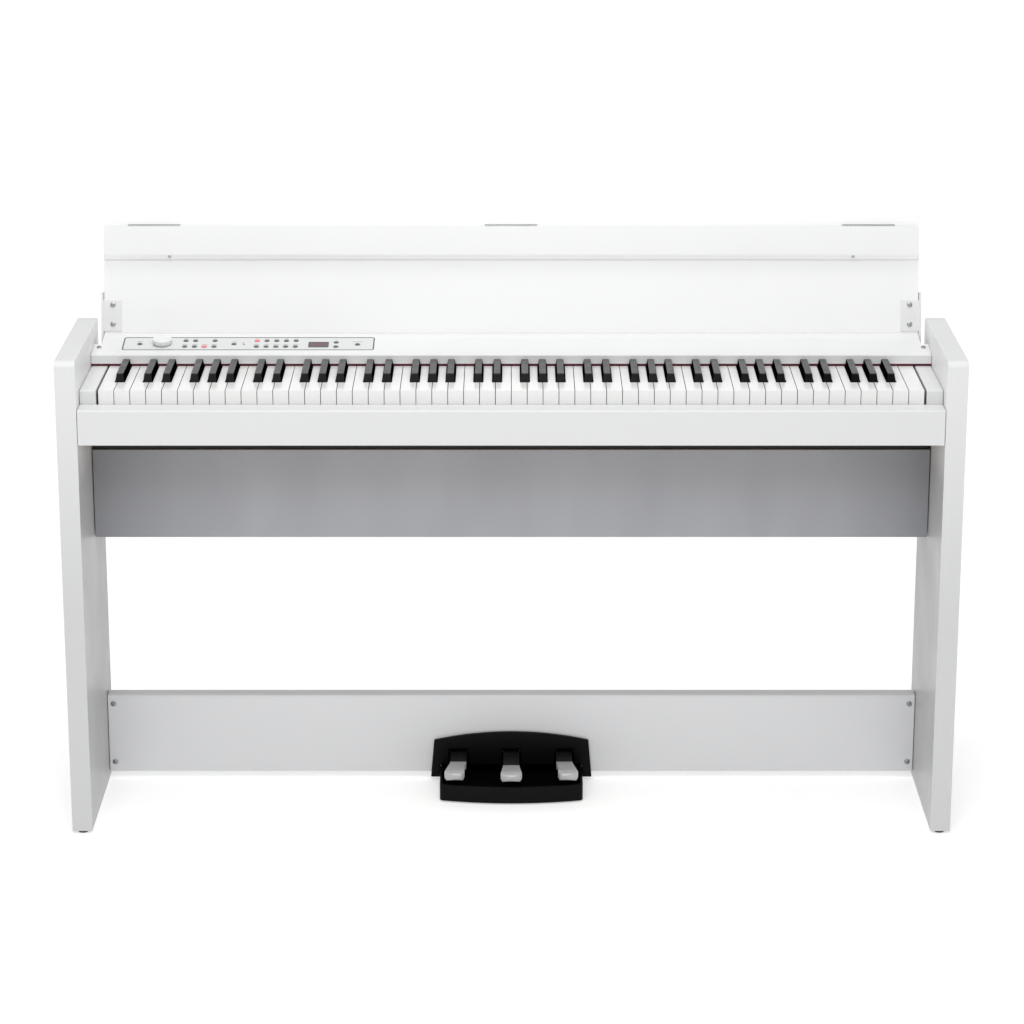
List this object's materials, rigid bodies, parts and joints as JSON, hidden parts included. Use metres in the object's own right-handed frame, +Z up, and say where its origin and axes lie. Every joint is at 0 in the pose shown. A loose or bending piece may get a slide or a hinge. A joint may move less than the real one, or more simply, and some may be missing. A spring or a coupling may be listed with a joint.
{
  "type": "digital piano on stand",
  "caption": "Slim white digital piano with panel legs, full keyboard, folding lid with flap, full-width speaker grille, stretcher and sprung pedal unit.",
  "frame": {"origin": "on the floor, in the middle of the footprint with the lid open", "axes": "+X to the player's right, +Y away from the player, +Z up"},
  "size_m": [1.345, 0.3088, 0.9023],
  "materials": {
    "cabinet_white": "satin white foil over board",
    "board_wood": "raw particle board",
    "stretcher_grey": "satin pale grey foil over board",
    "black_board": "matt black foil over board",
    "panel_plastic": "fine satin moulding",
    "knob_plastic": "satin moulding",
    "frame_plastic": "matt moulding",
    "black_plastic": "matt black",
    "button_grey": "satin dark grey",
    "display_dark": "dark tinted window",
    "led_red": "red lens",
    "white_key": "glossy white",
    "black_key": "satin black",
    "maroon_felt": "wool felt",
    "circuit_green": "circuit board",
    "grille_metal": "satin silver grey, finely perforated",
    "speaker_black": "paper cone and pressed frame",
    "pedal_black": "glossy black",
    "pedal_metal": "satin plated tip on a black painted lever",
    "screw_steel": "zinc plated",
    "hinge_steel": "plain steel",
    "bracket_paint": "satin light grey paint",
    "bumper_rubber": "soft grey rubber"
  },
  "bodies": {
    "cabinet": {"left_side_panel": "cabinet_white", "right_side_panel": "cabinet_white", "floor_feet": "black_plastic", "keybed": "board_wood", "key_slip": "cabinet_white", "cheek_blocks": "cabinet_white", "top_panel": "panel_plastic", "display_window": "display_dark", "indicator_leds": "led_red", "panel_screws": "screw_steel", "rear_cover": "cabinet_white", "rear_jack_panel": "black_plastic", "key_frame": "frame_plastic", "key_pivot_rod": "screw_steel", "felt_strip": "maroon_felt", "key_rest_felt": "maroon_felt", "key_sensor_board": "circuit_green", "main_board": "circuit_green", "control_board": "circuit_green", "speaker_box": "black_board", "speaker_grille": "grille_metal", "left_speaker": "speaker_black", "right_speaker": "speaker_black", "stretcher": "stretcher_grey", "case_screws": "screw_steel", "pedal_base": "pedal_black", "pedal_back_plate": "pedal_black", "pedal_axle": "screw_steel", "pedal_springs": "screw_steel", "lid_pivot_pins": "screw_steel"},
    "lid": {"lid_board": "cabinet_white", "lid_brackets": "bracket_paint", "lid_screws": "screw_steel", "flap_hinge_leaves": "hinge_steel"},
    "flap": {"flap_board": "cabinet_white", "flap_bumpers": "bumper_rubber", "flap_hinge_knuckles": "hinge_steel"},
    "left_pedal": {"left_pedal": "pedal_metal"},
    "middle_pedal": {"middle_pedal": "pedal_metal"},
    "right_pedal": {"right_pedal": "pedal_metal"},
    "volume_knob": {"volume_knob": "knob_plastic"},
    "power_button": {"power_button": "button_grey"},
    "effect_buttons": {"effect_buttons": "button_grey"},
    "bank_button": {"bank_button": "button_grey"},
    "sound_buttons": {"sound_buttons": "button_grey"},
    "value_up_button": {"value_up_button": "button_grey"},
    "value_down_button": {"value_down_button": "button_grey"},
    "record_button": {"record_button": "button_grey"},
    "keys_c": {"keys_c": "white_key"},
    "keys_d": {"keys_d": "white_key"},
    "keys_e": {"keys_e": "white_key"},
    "keys_f": {"keys_f": "white_key"},
    "keys_g": {"keys_g": "white_key"},
    "keys_a": {"keys_a": "white_key"},
    "keys_b": {"keys_b": "white_key"},
    "keys_c_sharp": {"keys_c_sharp": "black_key"},
    "keys_d_sharp": {"keys_d_sharp": "black_key"},
    "keys_f_sharp": {"keys_f_sharp": "black_key"},
    "keys_g_sharp": {"keys_g_sharp": "black_key"},
    "keys_a_sharp": {"keys_a_sharp": "black_key"}
  },
  "joints": [
    {"name": "lid_hinge", "type": "hinge", "parent": "cabinet", "child": "lid", "pos_m": [0, 0.0636, 0.702], "axis": [1, 0, 0], "range_deg": [0, 102.5]},
    {"name": "flap_hinge", "type": "hinge", "parent": "lid", "child": "flap", "pos_m": [0, 0.13588, 0.8894], "axis": [-1, 0, 0], "range_deg": [0, 90]},
    {"name": "left_pedal_press", "type": "hinge", "parent": "cabinet", "child": "left_pedal", "pos_m": [0, 0.0936, 0.0385], "axis": [1, 0, 0], "range_deg": [0, 6], "stiffness_Nm_per_rad": 20, "springref_deg": -6.88},
    {"name": "middle_pedal_press", "type": "hinge", "parent": "cabinet", "child": "middle_pedal", "pos_m": [0, 0.0936, 0.0385], "axis": [1, 0, 0], "range_deg": [0, 6], "stiffness_Nm_per_rad": 20, "springref_deg": -6.88},
    {"name": "right_pedal_press", "type": "hinge", "parent": "cabinet", "child": "right_pedal", "pos_m": [0, 0.0936, 0.0385], "axis": [1, 0, 0], "range_deg": [0, 6], "stiffness_Nm_per_rad": 20, "springref_deg": -6.88},
    {"name": "volume_turn", "type": "hinge", "parent": "cabinet", "child": "volume_knob", "pos_m": [-0.5365, 0.06298, 0.72012], "axis": [0, -0.1736, 0.9848], "range_deg": [-150, 150]},
    {"name": "power_button_press", "type": "slide", "parent": "cabinet", "child": "power_button", "axis": [0, 0.1736, -0.9848], "range_m": [0, 0.001], "stiffness_N_per_m": 400, "springref_m": -0.001},
    {"name": "effect_buttons_press", "type": "slide", "parent": "cabinet", "child": "effect_buttons", "axis": [0, 0.1736, -0.9848], "range_m": [0, 0.001], "stiffness_N_per_m": 2800, "springref_m": -0.001},
    {"name": "bank_button_press", "type": "slide", "parent": "cabinet", "child": "bank_button", "axis": [0, 0.1736, -0.9848], "range_m": [0, 0.001], "stiffness_N_per_m": 400, "springref_m": -0.001},
    {"name": "sound_buttons_press", "type": "slide", "parent": "cabinet", "child": "sound_buttons", "axis": [0, 0.1736, -0.9848], "range_m": [0, 0.001], "stiffness_N_per_m": 4000, "springref_m": -0.001},
    {"name": "value_up_button_press", "type": "slide", "parent": "cabinet", "child": "value_up_button", "axis": [0, 0.1736, -0.9848], "range_m": [0, 0.001], "stiffness_N_per_m": 400, "springref_m": -0.001},
    {"name": "value_down_button_press", "type": "slide", "parent": "cabinet", "child": "value_down_button", "axis": [0, 0.1736, -0.9848], "range_m": [0, 0.001], "stiffness_N_per_m": 400, "springref_m": -0.001},
    {"name": "record_button_press", "type": "slide", "parent": "cabinet", "child": "record_button", "axis": [0, 0.1736, -0.9848], "range_m": [0, 0.001], "stiffness_N_per_m": 400, "springref_m": -0.001},
    {"name": "keys_c_press", "type": "hinge", "parent": "cabinet", "child": "keys_c", "pos_m": [0, 0.0836, 0.684], "axis": [1, 0, 0], "range_deg": [0, 2.8], "stiffness_Nm_per_rad": 5, "springref_deg": -20.05},
    {"name": "keys_d_press", "type": "hinge", "parent": "cabinet", "child": "keys_d", "pos_m": [0, 0.0836, 0.684], "axis": [1, 0, 0], "range_deg": [0, 2.8], "stiffness_Nm_per_rad": 5, "springref_deg": -20.05},
    {"name": "keys_e_press", "type": "hinge", "parent": "cabinet", "child": "keys_e", "pos_m": [0, 0.0836, 0.684], "axis": [1, 0, 0], "range_deg": [0, 2.8], "stiffness_Nm_per_rad": 5, "springref_deg": -20.05},
    {"name": "keys_f_press", "type": "hinge", "parent": "cabinet", "child": "keys_f", "pos_m": [0, 0.0836, 0.684], "axis": [1, 0, 0], "range_deg": [0, 2.8], "stiffness_Nm_per_rad": 5, "springref_deg": -20.05},
    {"name": "keys_g_press", "type": "hinge", "parent": "cabinet", "child": "keys_g", "pos_m": [0, 0.0836, 0.684], "axis": [1, 0, 0], "range_deg": [0, 2.8], "stiffness_Nm_per_rad": 5, "springref_deg": -20.05},
    {"name": "keys_a_press", "type": "hinge", "parent": "cabinet", "child": "keys_a", "pos_m": [0, 0.0836, 0.684], "axis": [1, 0, 0], "range_deg": [0, 2.8], "stiffness_Nm_per_rad": 5, "springref_deg": -20.05},
    {"name": "keys_b_press", "type": "hinge", "parent": "cabinet", "child": "keys_b", "pos_m": [0, 0.0836, 0.684], "axis": [1, 0, 0], "range_deg": [0, 2.8], "stiffness_Nm_per_rad": 5, "springref_deg": -20.05},
    {"name": "keys_c_sharp_press", "type": "hinge", "parent": "cabinet", "child": "keys_c_sharp", "pos_m": [0, 0.0836, 0.684], "axis": [1, 0, 0], "range_deg": [0, 2.8], "stiffness_Nm_per_rad": 3, "springref_deg": -20.05},
    {"name": "keys_d_sharp_press", "type": "hinge", "parent": "cabinet", "child": "keys_d_sharp", "pos_m": [0, 0.0836, 0.684], "axis": [1, 0, 0], "range_deg": [0, 2.8], "stiffness_Nm_per_rad": 3, "springref_deg": -20.05},
    {"name": "keys_f_sharp_press", "type": "hinge", "parent": "cabinet", "child": "keys_f_sharp", "pos_m": [0, 0.0836, 0.684], "axis": [1, 0, 0], "range_deg": [0, 2.8], "stiffness_Nm_per_rad": 3, "springref_deg": -20.05},
    {"name": "keys_g_sharp_press", "type": "hinge", "parent": "cabinet", "child": "keys_g_sharp", "pos_m": [0, 0.0836, 0.684], "axis": [1, 0, 0], "range_deg": [0, 2.8], "stiffness_Nm_per_rad": 3, "springref_deg": -20.05},
    {"name": "keys_a_sharp_press", "type": "hinge", "parent": "cabinet", "child": "keys_a_sharp", "pos_m": [0, 0.0836, 0.684], "axis": [1, 0, 0], "range_deg": [0, 2.8], "stiffness_Nm_per_rad": 3, "springref_deg": -20.05}
  ]
}
